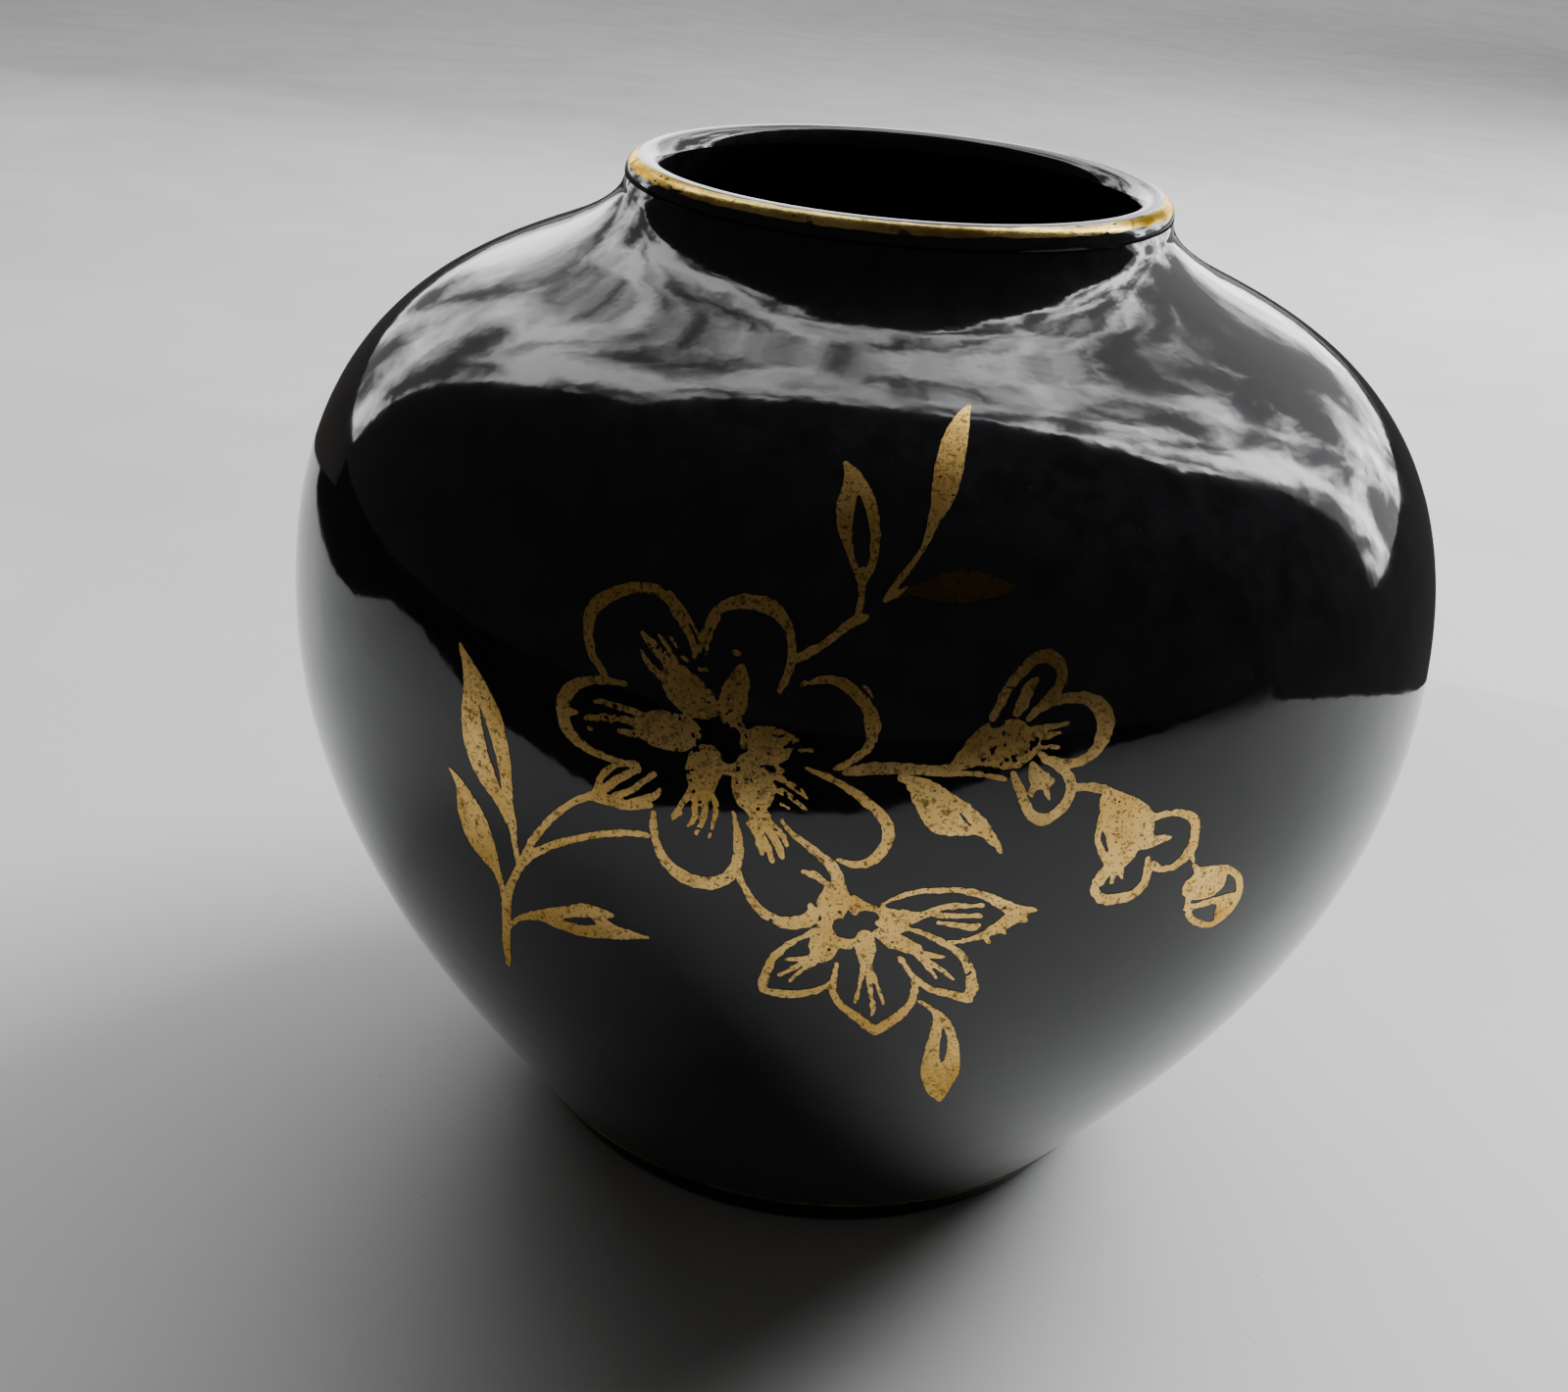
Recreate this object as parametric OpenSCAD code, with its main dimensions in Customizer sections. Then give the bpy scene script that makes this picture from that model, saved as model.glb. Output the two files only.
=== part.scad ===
// Small black-glazed porcelain vase with a gilded lip, a gilded foot line and a gold flower transfer.
// Millimetres, +Z up, origin at the centre of the foot ring on the surface that it stands on.
// The transfer faces -Y. Its strokes are drawn on a flat sheet, [across, height, width], where across is
// measured round the belly from the middle of the front, and the sheet is then laid on the glaze.

/* [Outside shape] */
// Diameter at the widest point of the belly
belly_d = 106; // [100:0.5:112]
// Height of the widest point above the table
belly_z = 53.3; // [50:0.1:56]
// Diameter of the foot ring where it stands on the table
foot_d = 61; // [58:0.5:62]
// Height of the foot ring, up to the crease under the belly
foot_h = 4.2; // [3.5:0.1:5]
// Diameter of the belly where it springs from the foot ring
spring_d = 65.2; // [64.6:0.1:66]
// Angle of the belly from upright where it leaves the foot ring, degrees
spring_angle = 32; // [28:1:36]
// Diameter of the neck under the lip
neck_d = 48; // [46:0.5:50]
// Height of the middle of the rounded lip
lip_z = 91.7; // [90:0.1:93]
// Height of the rounded top of the lip above its middle
lip_rise = 1.7; // [1.2:0.1:2]

/* [Wall] */
// Thickness of the wall, with its glaze
wall = 3.2; // [2.6:0.1:3.6]
// Height of the inside floor above the table
floor_z = 6; // [5:0.1:7]
// Width of the bare ring that the vase stands on
foot_ring_w = 3; // [2.4:0.1:4]
// Depth of the recess under the base
recess = 2.2; // [1.5:0.1:2.6]
// Thickness of the glaze
glaze_t = 0.25; // [0.15:0.05:0.4]

/* [Gilding] */
// Thickness of the gold, drawn thicker than real leaf so that it stays a solid
gold_t = 0.1; // [0.06:0.02:0.2]
// Gap that keeps the gold clear of the glaze under it
gold_gap = 0.01; // [0.005:0.005:0.02]
// Where the lip's gold starts outside and stops on top, degrees round the lip
lip_gold = [32, 102]; // [0:1:120]
// Width of the gold line above the foot ring
foot_line_w = 0.5; // [0.3:0.1:1]
// How much narrower than drawn the finest brush strokes come out
pen_thinning = 0.2; // [0:0.02:0.4]

/* [Hidden] */
$fn = 180;
belly_r = belly_d / 2;
foot_r = foot_d / 2;
spring_r = spring_d / 2;
neck_r = neck_d / 2;
lip_r = neck_r - wall / 2;
shoulder = [29.2, 86.6];        // where the shoulder turns from convex to concave, below the neck
shoulder_dir = [cos(27.5), -sin(27.5)];
recess_r = foot_r - foot_ring_w - 0.4;
arc_steps = 18;
sheet_r = 53;                   // the flat sheet's millimetres are measured round this radius
shell_fn = 300;
dot_fn = 10;
full_stroke = 1.6;              // drawn width from which a stroke comes out nearly as drawn

// ---- Curves ----

function bezier(a, b, c, d, steps) = [
    for (i = [0 : steps]) let (t = i / steps, s = 1 - t)
        s * s * s * a + 3 * s * s * t * b + 3 * s * t * t * c + t * t * t * d
];
function tail(list) = [for (i = [1 : len(list) - 1]) list[i]];
function reversed(list) = [for (i = [len(list) - 1 : -1 : 0]) list[i]];

// A smooth curve through the points of a list, of any dimension.
function through(p, steps) = [
    for (i = [0 : len(p) - 2], k = [0 : steps - 1])
        let (
            t = k / steps,
            a = p[max(i - 1, 0)], b = p[i], c = p[i + 1], d = p[min(i + 2, len(p) - 1)]
        )
        0.5 * (2 * b + (c - a) * t + (2 * a - 5 * b + 4 * c - d) * t * t
            + (3 * b - a - 3 * c + d) * t * t * t),
    p[len(p) - 1]
];

// The glazed outside from the foot's crease to the lip, as [radius, height].
outer_side = concat(
    bezier(
        [spring_r, foot_h],
        [spring_r, foot_h] + 14.4 * [sin(spring_angle), cos(spring_angle)],
        [belly_r, belly_z - 20],
        [belly_r, belly_z], arc_steps + 6),
    tail(bezier(
        [belly_r, belly_z], [belly_r, belly_z + 26.9], shoulder + 8 * shoulder_dir, shoulder,
        arc_steps + 8)),
    tail(bezier(
        shoulder, shoulder - 3 * shoulder_dir, [neck_r, lip_z - 2], [neck_r, lip_z], 10))
);

// The same line moved square to itself by d: outwards when d is positive.
function moved(line, d) = [
    for (i = [0 : len(line) - 1])
        let (
            along = line[min(i + 1, len(line) - 1)] - line[max(i - 1, 0)],
            out = [along[1], -along[0]] / norm(along)
        )
        line[i] + d * out
];

// Half-round lip from angle a to angle b, grown by d.
function lip(d, a, b) = [
    for (i = [0 : 16]) let (t = a + (b - a) * i / 16)
        [lip_r + (wall / 2 + d) * cos(t), lip_z + (lip_rise + d) * sin(t)]
];

// The inside surface, from the throat down to the floor; d moves it into the wall.
wall_line = [for (p = moved(outer_side, -wall)) if (p[1] > 16 && p[1] < lip_z - 0.2) p];
wall_dir = (wall_line[0] - wall_line[1]) / norm(wall_line[0] - wall_line[1]);
function inner_side(d) = concat(
    [[lip_r - wall / 2 + d, lip_z]],
    reversed(moved(wall_line, d)),
    tail(bezier(
        moved(wall_line, d)[0], moved(wall_line, d)[0] + 9 * wall_dir,
        [30, floor_z - d], [20, floor_z - d], 12)),
    [[0, floor_z - d]]
);

// The foot ring's outside, from the bare ring up to the crease.
function foot_side(d) = [
    [foot_r - 0.5 + d, 0.12 + d / 2],
    [foot_r - 0.1 + d, 0.5],
    [foot_r + 0.5 + d, foot_h - 0.7],
    [foot_r + 0.9 + d, foot_h - 0.25]
];

// ---- Ceramic ----

module turned(points) {
    rotate_extrude() polygon(points);
}

module porcelain_body() {
    color("gainsboro") turned(concat(
        [[0, recess + glaze_t], [recess_r - 0.3, recess + glaze_t], [recess_r, recess]],
        [[recess_r + 0.3, 0.3], [recess_r + 0.6, 0], [foot_r - 0.8, 0], [foot_r - 0.5 - glaze_t, 0.12]],
        tail(foot_side(-glaze_t)),
        moved(outer_side, -glaze_t),
        tail(lip(-glaze_t, 0, 180)),
        tail(inner_side(glaze_t))
    ));
}

module outer_glaze() {
    color([0.02, 0.02, 0.025]) turned(concat(
        foot_side(0), outer_side, tail(lip(0, 0, 180)),
        reversed(lip(-glaze_t, 0, 180)), reversed(moved(outer_side, -glaze_t)),
        reversed(tail(foot_side(-glaze_t))), [[foot_r - 0.5 - glaze_t, 0.12]]
    ));
}

module inner_glaze() {
    color([0.03, 0.03, 0.035]) turned(concat(inner_side(0), reversed(inner_side(glaze_t))));
}

module base_glaze() {
    color([0.03, 0.03, 0.035]) translate([0, 0, recess]) cylinder(r = recess_r - 0.4, h = glaze_t);
}

// ---- Gilding ----

module rim_gilding() {
    color("goldenrod") turned(concat(
        lip(gold_gap, lip_gold[0], lip_gold[1]),
        reversed(lip(gold_gap + gold_t, lip_gold[0], lip_gold[1]))
    ));
}

module foot_gilding() {
    up = [sin(spring_angle), cos(spring_angle)];
    out = [up[1], -up[0]];
    start = [spring_r, foot_h] + 0.15 * up + gold_gap * out;
    color("goldenrod") turned([
        start, start + gold_t * out, start + gold_t * out + foot_line_w * up, start + foot_line_w * up
    ]);
}

// ---- Gold transfer ----

glaze_radius = [for (p = outer_side) [p[1], p[0]]];

// The width that a stroke drawn w wide comes out: fine ones narrower, full ones as drawn.
function inked(w) = w * (1 - pen_thinning * exp(-pow(w / full_stroke, 2)));

// One dab of the brush at a point of the sheet, seen from the front.
module dab(p) {
    r = lookup(p[1], glaze_radius);
    a = p[0] / sheet_r * 180 / PI;
    translate([r * sin(a), p[1]]) scale([r / sheet_r * cos(a), 1]) circle(d = inked(p[2]), $fn = dot_fn);
}

module stroke(points) {
    line = through(points, 3);
    for (i = [0 : len(line) - 2]) hull() {
        dab(line[i]);
        dab(line[i + 1]);
    }
}

// The film that the transfer is cut from: a thin skin over the front of the glaze.
module film() {
    skin = [for (p = outer_side) if (p[1] > 24 && p[1] < 87) p];
    rotate_extrude(angle = 100, start = -140, $fn = shell_fn)
        polygon(concat(moved(skin, gold_gap + gold_t), reversed(moved(skin, gold_gap))));
}

module transfer(strokes) {
    color("darkgoldenrod") intersection() {
        film();
        rotate([90, 0, 0]) linear_extrude(belly_r + 2) for (s = strokes) stroke(s);
    }
}

// Left: a stem with three leaves and two side stems.
module leaf_spray() {
    transfer([
        // main stem
        [[-27.6, 36.2, 0.6], [-27.3, 37.5, 0.85], [-26.9, 39.5, 0.95], [-26.4, 41.5, 0.95],
         [-26, 43.6, 1.05], [-25.5, 45.2, 0.9], [-24.9, 46.6, 0.8], [-24.3, 47.8, 0.75], [-23.9, 48.6, 0.7]],
        // lower left leaf
        [[-26.1, 43.9, 0.6], [-26.2, 45.5, 0.7], [-26.6, 47, 1.1], [-27.5, 48.4, 2.4], [-28.2, 49.8, 3.1],
         [-28.8, 51.2, 2.8], [-29.4, 52.6, 1.7], [-30.1, 53.6, 0.9], [-31.1, 54.3, 0.2]],
        // tall leaf: its stem and the two halves either side of the slit
        [[-24.15, 47.9, 0.45], [-24.35, 49.5, 0.6], [-24.55, 51, 0.75], [-24.7, 52.4, 1]],
        [[-24.9, 52, 0.9], [-25.7, 53.3, 1.1], [-26.5, 54.3, 1.6], [-27.4, 55.5, 2.1], [-28.2, 56.9, 2.3],
         [-28.65, 58.3, 2.3], [-28.95, 59.6, 2], [-29.2, 61, 1.6], [-29.7, 62.5, 1.1], [-31, 64.4, 0.2]],
        [[-24.65, 52, 0.9], [-25, 53.5, 1.1], [-25.2, 55.2, 1.2], [-25.5, 56.8, 1.4], [-26, 58.3, 1.65],
         [-26.7, 59.8, 1.8], [-27.7, 61.1, 1.7], [-28.9, 62.5, 1.2], [-31, 64.4, 0.2]],
        // side stems
        [[-24.1, 48.2, 0.6], [-23.5, 49.5, 0.75], [-22.9, 50.9, 0.7], [-22.1, 52.2, 0.65],
         [-21.2, 53.5, 0.6], [-20.1, 54.8, 0.6], [-19, 55.8, 0.6], [-17.8, 56.6, 0.8]],
        [[-24, 48.3, 0.6], [-23.3, 49.4, 0.85], [-22.2, 50.4, 0.8], [-20.8, 51.5, 0.7], [-19.2, 52.5, 0.6],
         [-17.3, 53.5, 0.6], [-15.2, 54.3, 0.6], [-13.2, 54.65, 0.5]],
        // lower right leaf: the two halves either side of its slit
        [[-26.1, 41.2, 0.45], [-25.3, 42.3, 0.45], [-24.2, 43.2, 0.6], [-22.6, 43.9, 0.9], [-21, 44, 1.3],
         [-19.5, 44, 1.3], [-18, 44.3, 1.3], [-16.5, 44.9, 1.5], [-15, 45.2, 1.2], [-13, 45.5, 0.2]],
        [[-24.5, 43.1, 0.5], [-22.8, 44.1, 0.9], [-21.2, 44.9, 1.2], [-19.8, 45.6, 1.2],
         [-18.4, 46.3, 1.4], [-17, 46.5, 1.2], [-15.95, 46.7, 0.4]],
        [[-17.3, 45.8, 1], [-15.8, 45.4, 0.9]],
        // fan of four fingers
        [[-17.8, 56.4, 0.6], [-16.8, 56.6, 1], [-15.2, 56.6, 0.9], [-13.9, 56.9, 0.75], [-13.1, 57.05, 0.4]],
        [[-17.4, 56.9, 0.9], [-17.2, 57.2, 1]],
        [[-17.3, 57.5, 0.7], [-17.2, 58.1, 0.6], [-16.7, 58.9, 0.6], [-16.1, 59.4, 0.5], [-15.1, 59.85, 0.5],
         [-14.45, 59.95, 0.5]],
        [[-16.7, 57.5, 0.8], [-16, 58.3, 0.7], [-15.1, 59, 0.7], [-14.3, 59.6, 0.6]],
        [[-15.9, 57.1, 0.7], [-14.8, 57.8, 0.6], [-13.9, 58.7, 0.55], [-13.1, 59.5, 0.5]],
        [[-14.6, 57, 0.6], [-13.5, 57.5, 0.7], [-12.7, 58.1, 0.5], [-12.6, 58.6, 0.2]]
    ]);
}

// Middle: the outlines of the main flower's six petals.
module main_blossom() {
    transfer([
        // upper left petal, with a hair line beside it
        [[-17.9, 65.8, 0.6], [-18.9, 66.6, 0.75], [-19.6, 67.8, 0.95], [-19.9, 69.1, 1.1], [-19.3, 70.3, 1.1],
         [-18.1, 71.1, 0.9], [-16.6, 71.7, 0.75], [-15.1, 71.8, 0.75], [-13.8, 71.3, 0.75],
         [-12.6, 70.2, 0.7], [-11.7, 69.3, 0.6], [-11.2, 68.2, 0.4]],
        [[-14.2, 72, 0.2], [-12.9, 71.2, 0.25], [-11.6, 70, 0.25], [-10.9, 69.2, 0.2]],
        // top petal
        [[-10.9, 68.6, 0.35], [-10.8, 69.8, 0.5], [-10.4, 70.9, 0.65], [-9.6, 71.7, 0.8], [-8.5, 72.1, 1],
         [-7.2, 72.15, 1], [-5.9, 71.95, 1.1], [-4.9, 71.2, 0.85], [-4.35, 70.2, 0.7], [-4.15, 69, 0.75],
         [-4.4, 67.8, 0.65], [-4.8, 66.8, 0.45]],
        [[-10.4, 68.8, 0.3], [-10.3, 69.8, 0.3], [-9.9, 70.9, 0.3]],
        [[-10.7, 67.45, 0.4], [-10.6, 67.45, 0.4]],
        [[-10.3, 67.5, 0.4], [-10.2, 67.5, 0.4]],
        [[-10.4, 68.45, 0.3], [-10.4, 68.5, 0.3]],
        // right petal, with a break and a hair line
        [[-2.6, 67.7, 0.35], [-1.8, 68, 0.6], [-0.6, 68, 0.75], [0.4, 67.5, 0.9], [1.2, 66.8, 1],
         [1.7, 66.2, 0.8]],
        [[1.75, 65.8, 0.9], [2, 65.4, 1.3], [2.1, 64.8, 0.95], [1.9, 63.9, 0.75], [1.1, 63, 0.65],
         [0.3, 62.4, 0.6], [-0.4, 62.1, 0.35]],
        [[1.5, 67, 0.3], [2.1, 66.2, 0.4], [2.3, 65.6, 0.5]],
        [[-3.3, 67.5, 0.4], [-3, 67.7, 0.4]],
        [[0.5, 68.2, 0.15], [1.4, 67.7, 0.2], [2, 67, 0.15]],
        // lower right petal
        [[-2.3, 61.95, 0.25], [-1.2, 61.6, 0.45], [0.1, 61.1, 0.6], [1.4, 60.4, 0.7], [2.6, 59.6, 0.8],
         [3.5, 58.7, 0.9], [3.9, 57.6, 1], [3.7, 56.5, 0.95], [3, 55.5, 0.8], [2, 55, 0.7],
         [1.2, 55.1, 0.5], [0.5, 55.3, 0.3]],
        // bottom petal
        [[-12.9, 56.6, 0.45], [-12.85, 55.4, 0.65], [-12.5, 54.1, 0.75], [-11.9, 53, 0.9],
         [-11, 52.2, 1.1], [-9.9, 51.75, 1.25], [-8.8, 51.7, 1.2], [-7.7, 52.1, 1.1], [-6.9, 52.9, 1],
         [-6.5, 54.1, 0.9], [-6.55, 55.5, 0.8], [-6.8, 56.9, 0.6], [-7.15, 57.9, 0.3]],
        // left petal
        [[-16.1, 65.4, 0.5], [-17.5, 65.3, 0.6], [-19.1, 64.9, 0.75], [-20.2, 64.2, 1],
         [-20.75, 63.2, 1.25], [-20.7, 62.1, 1.2], [-20.2, 61.1, 1.1], [-19.2, 60.4, 0.85],
         [-17.9, 60, 0.65], [-16.3, 59.8, 0.55], [-14.6, 59.8, 0.5]],
        [[-20.2, 62.4, 0.6], [-19.6, 62.5, 0.4]]
    ]);
}

// Middle: the six inner petals of the main flower, each with its fingers, round a dark eye.
module main_blossom_heart() {
    transfer([
        // upper left
        [[-9.8, 64.7, 1.2], [-10.7, 65.4, 2.5], [-11.8, 66, 2.7], [-12.5, 66.6, 1.9]],
        [[-9.2, 64.9, 1], [-9.9, 65.7, 1.3]],
        [[-12.9, 66.2, 0.7], [-14.4, 67, 0.55], [-15.35, 67.9, 0.3]],
        [[-12.4, 66.9, 0.9], [-13.6, 67.8, 0.8], [-14.6, 68.4, 0.75], [-15.5, 69, 0.4]],
        [[-12.2, 67.3, 0.35], [-13.2, 68.3, 0.3], [-14.2, 69.15, 0.2]],
        [[-12.4, 68.35, 0.2], [-12.9, 68.8, 0.2], [-13.4, 69.2, 0.2]],
        [[-12.2, 68.05, 0.25], [-11.7, 67.85, 0.25]],
        // top
        [[-8, 64.7, 1.6], [-8, 65.4, 2.1], [-7.95, 66.3, 2], [-7.65, 67.2, 1.5], [-7.7, 67.9, 0.9]],
        [[-8.4, 68.9, 0.3], [-8, 68.9, 0.3]],
        // rim of the eye on the right
        [[-7.6, 64.5, 0.7], [-7.1, 64, 0.6], [-6.75, 63.5, 0.6], [-6.5, 63, 0.6], [-6.4, 62.4, 0.6],
         [-6.6, 61.9, 0.7], [-6.8, 61.4, 0.9]],
        // right
        [[-6.3, 63.2, 1.8], [-5.6, 63.15, 2.7], [-4.8, 63.1, 2.7], [-4.2, 63.4, 1.9]],
        [[-4.2, 64, 0.8], [-3.1, 63.8, 0.4]],
        [[-4.2, 63.1, 0.6], [-3.4, 63.2, 0.4]],
        [[-2.95, 63.1, 0.3], [-2.5, 63.2, 0.4], [-2, 63.2, 0.3]],
        [[-4.3, 61.65, 0.4], [-3.9, 61.45, 0.35]],
        // lower right
        [[-6.5, 61.4, 1.8], [-6, 60.5, 2.9], [-5.8, 59.7, 3.1], [-5.8, 58.9, 2], [-5.5, 58.2, 1.3],
         [-5, 57.6, 1.7]],
        [[-5, 61.1, 0.5], [-4.2, 61, 0.6], [-3.1, 60.5, 0.5], [-2.5, 60.15, 0.45], [-1.9, 59.6, 0.2]],
        [[-4.8, 60.25, 0.6], [-3.8, 60, 0.6], [-2.95, 59.55, 0.5], [-2.35, 59.1, 0.35], [-1.75, 58.8, 0.2]],
        [[-3.85, 59.1, 0.25], [-3.2, 58.8, 0.2]],
        [[-6.2, 57.5, 0.4], [-5.6, 57, 0.5], [-5.1, 56, 0.55], [-4.75, 54.9, 0.4]],
        [[-5.6, 57.5, 0.7], [-5, 56.5, 0.6], [-4.4, 55.5, 0.55], [-4, 54.4, 0.35]],
        [[-5, 57.5, 0.8], [-4.05, 56.4, 0.7], [-3.55, 55.5, 0.6], [-3.3, 54.85, 0.3]],
        [[-4.15, 57.35, 0.5], [-3.4, 56.6, 0.45], [-3.1, 55.9, 0.25]],
        // bottom
        [[-9, 61.4, 0.9], [-8, 61, 1], [-7, 61.1, 0.9]],
        [[-9.2, 61.7, 1.6], [-9.4, 61.2, 2.6], [-9.5, 60.4, 2.6], [-9.6, 59.4, 2], [-9.6, 58.8, 1.8]],
        [[-10.25, 58.95, 0.7], [-10.6, 58.2, 0.6], [-10.95, 57.45, 0.5], [-11, 57.1, 0.75],
         [-11.45, 56.5, 0.4], [-11.7, 55.95, 0.2]],
        [[-9.9, 58.8, 0.6], [-9.9, 57.85, 0.5], [-9.85, 57.2, 0.55], [-9.95, 56.6, 0.5], [-10.3, 56.1, 0.3]],
        [[-9.15, 58.8, 0.6], [-9.15, 57.8, 0.6], [-9.2, 57, 0.55], [-9.4, 56.25, 0.5], [-9.65, 55.65, 0.3]],
        [[-8.7, 59, 0.4], [-8.4, 58.3, 0.5], [-8.35, 57.6, 0.4], [-8.45, 57, 0.35], [-8.55, 56.2, 0.3]],
        [[-8.6, 55.85, 0.3], [-8.7, 55.5, 0.25]],
        // left
        [[-10.8, 63, 2], [-11.6, 62.9, 2.7], [-12.6, 62.85, 2.85], [-13.5, 62.8, 2.4], [-14.1, 62.7, 1.7]],
        [[-13.9, 63.4, 0.7], [-15.1, 63.65, 0.55], [-16.3, 63.75, 0.5], [-17.4, 63.75, 0.45],
         [-18.3, 63.65, 0.4]],
        [[-14.2, 62.75, 0.8], [-15.1, 62.9, 0.65], [-16.3, 62.9, 0.6], [-17.8, 62.6, 0.55],
         [-18.85, 62.3, 0.4]],
        [[-14, 62.1, 0.6], [-15.1, 62.1, 0.5], [-16.1, 62, 0.45]],
        [[-18.6, 61.65, 0.3], [-18.2, 61.6, 0.3]]
    ]);
}

// Top: a stem from the main flower, with one outlined leaf, one full leaf and one thin worn leaf.
module upper_leaves() {
    transfer([
        [[-3.9, 69.1, 0.6], [-3.2, 69.5, 0.7], [-2.2, 70.1, 0.6], [-1.3, 70.8, 0.55], [-0.4, 71.6, 0.7],
         [0.4, 72, 0.7], [0.9, 72.15, 0.4]],
        [[0.1, 71.8, 0.6], [0.35, 73, 0.6], [0.3, 74, 0.7], [0.35, 74.7, 0.8]],
        [[0.1, 74.2, 0.5], [-0.55, 75.2, 0.5], [-1.1, 76.2, 0.8], [-1.55, 77.2, 1.3], [-1.65, 78.2, 1.6],
         [-1.5, 79.1, 1.4], [-1.8, 79.8, 0.8], [-2.3, 80.3, 0.2]],
        [[0.4, 74.3, 0.7], [0.95, 75.2, 0.7], [1, 76.4, 0.85], [0.8, 77.5, 1], [0.2, 78.6, 1],
         [-0.7, 79.4, 1], [-1.5, 79.9, 0.7], [-2.3, 80.35, 0.2]],
        [[2.1, 73.2, 0.4], [3, 74.3, 0.5], [4, 75.4, 0.45], [4.8, 76.3, 0.45], [5.2, 77, 0.7],
         [5.7, 78, 1.1], [6.3, 79, 1.9], [6.8, 80, 2.5], [7.3, 81, 2.6], [8.1, 82, 2.1], [9.1, 82.9, 1.1],
         [9.8, 83.4, 0.3]],
        [[2.1, 73.2, 0.3], [3.2, 73.7, 0.5], [4.6, 73.95, 0.8], [6, 74.1, 1.5], [7.5, 74.2, 1.95],
         [9, 74.35, 1.8], [10.3, 74.3, 1.3], [11.3, 74.3, 0.7], [12, 74.3, 0.2]]
    ]);
}

// Right: the stem and the three petal outlines of the side flower, and the stem that leads on.
module side_blossom() {
    transfer([
        [[0.4, 61.9, 0.5], [1.2, 62.1, 0.9], [2.4, 62.4, 1], [3.8, 62.5, 0.95], [5.4, 62.5, 0.9],
         [7, 62.5, 0.8], [8, 62.7, 0.9]],
        [[7, 62.3, 0.6], [8.6, 62.4, 0.5], [10, 62.3, 0.4]],
        [[10.4, 62.2, 0.4], [11.2, 62.1, 0.45], [11.8, 62, 0.3]],
        // upper petal
        [[10.5, 66.2, 0.7], [11, 67.3, 0.7], [11.6, 68.3, 0.8], [12.5, 69.3, 0.9], [13.6, 70.1, 0.95],
         [14.7, 70.15, 1], [15.45, 69.5, 1], [15.4, 68.5, 0.95], [14.7, 67.6, 0.9], [13.9, 66.9, 0.8],
         [13.1, 66.2, 0.5]],
        [[12.3, 66.6, 0.8], [12.7, 67.4, 1.1], [13.1, 68.3, 0.9], [13.6, 68.8, 0.4]],
        // right petal
        [[13.9, 66.8, 0.6], [14.9, 67.3, 0.8], [16.2, 67.5, 0.8], [17.5, 67.4, 0.9], [18.5, 66.8, 1.3],
         [19, 65.8, 1.5], [18.8, 64.7, 1.3], [18.2, 63.7, 1], [17.2, 63.1, 0.8], [16, 63, 0.75],
         [14.9, 63.3, 0.6], [14, 63.8, 0.4]],
        // lower petal
        [[12.2, 62.4, 0.6], [12.8, 61.3, 0.75], [13.3, 60.2, 0.8], [14, 59.2, 0.9], [14.9, 58.9, 1],
         [15.8, 59.4, 0.95], [16.5, 60.3, 0.9], [16.65, 61.3, 0.9], [16.3, 62.2, 0.8], [15.3, 62.9, 0.6],
         [14.3, 63.4, 0.4]],
        [[13.6, 63, 0.6], [14, 62.2, 1.3], [14.5, 61.8, 1.4], [15.2, 61.8, 0.5]],
        [[14, 61.7, 0.8], [13.7, 61, 0.5], [13.8, 60.7, 0.3]],
        [[14.6, 61.6, 0.7], [14.9, 60.9, 0.4], [15.1, 60.4, 0.2]],
        // stem to the bud flower
        [[16.8, 61.2, 0.7], [18, 61.2, 0.7], [19.2, 60.9, 0.8]]
    ]);
}

// Right: the full, speckled calyx of the side flower and the fingers that reach into its right petal.
module side_blossom_calyx() {
    transfer([
        [[8, 62.9, 0.9], [8.9, 63.5, 1.6], [9.9, 64.2, 2.5], [10.9, 64.5, 3.3], [11.9, 64.4, 3.5],
         [12.8, 64.4, 2.6], [13.4, 64.4, 1.4]],
        [[13.2, 65.4, 0.6], [14.6, 65.6, 0.5], [16.2, 65.8, 0.3]],
        [[13.3, 64.8, 0.5], [14.6, 65, 0.45], [15.6, 65.2, 0.3]],
        [[13.6, 64.2, 0.4], [14.8, 64.2, 0.4], [15.6, 64.15, 0.25]]
    ]);
}

// Right: the leaf that hangs from the side flower's stem, in two halves.
module drooping_leaf() {
    transfer([
        [[4.4, 61.9, 0.7], [5.1, 61.7, 0.9], [5.85, 61.4, 1.2], [6.8, 61.05, 1.1], [7.8, 60.6, 0.9],
         [8.6, 60.1, 0.9], [9.35, 59.55, 1], [10.3, 58.6, 1.05], [11.2, 57.5, 0.8], [11.7, 56.9, 0.5],
         [12.05, 56.4, 0.3]],
        [[5.2, 61.4, 1], [5.8, 60.8, 1.5], [6.5, 60, 1.9], [7.3, 59.1, 2.3], [8.2, 58.6, 1.8],
         [9, 58.2, 1.1], [9.8, 58.05, 0.6], [10.3, 57.9, 0.3]],
        [[6.4, 59.3, 0.6], [6.7, 58.4, 0.4]],
        [[7.2, 58.5, 0.9], [8.3, 57.9, 0.5]]
    ]);
}

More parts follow.
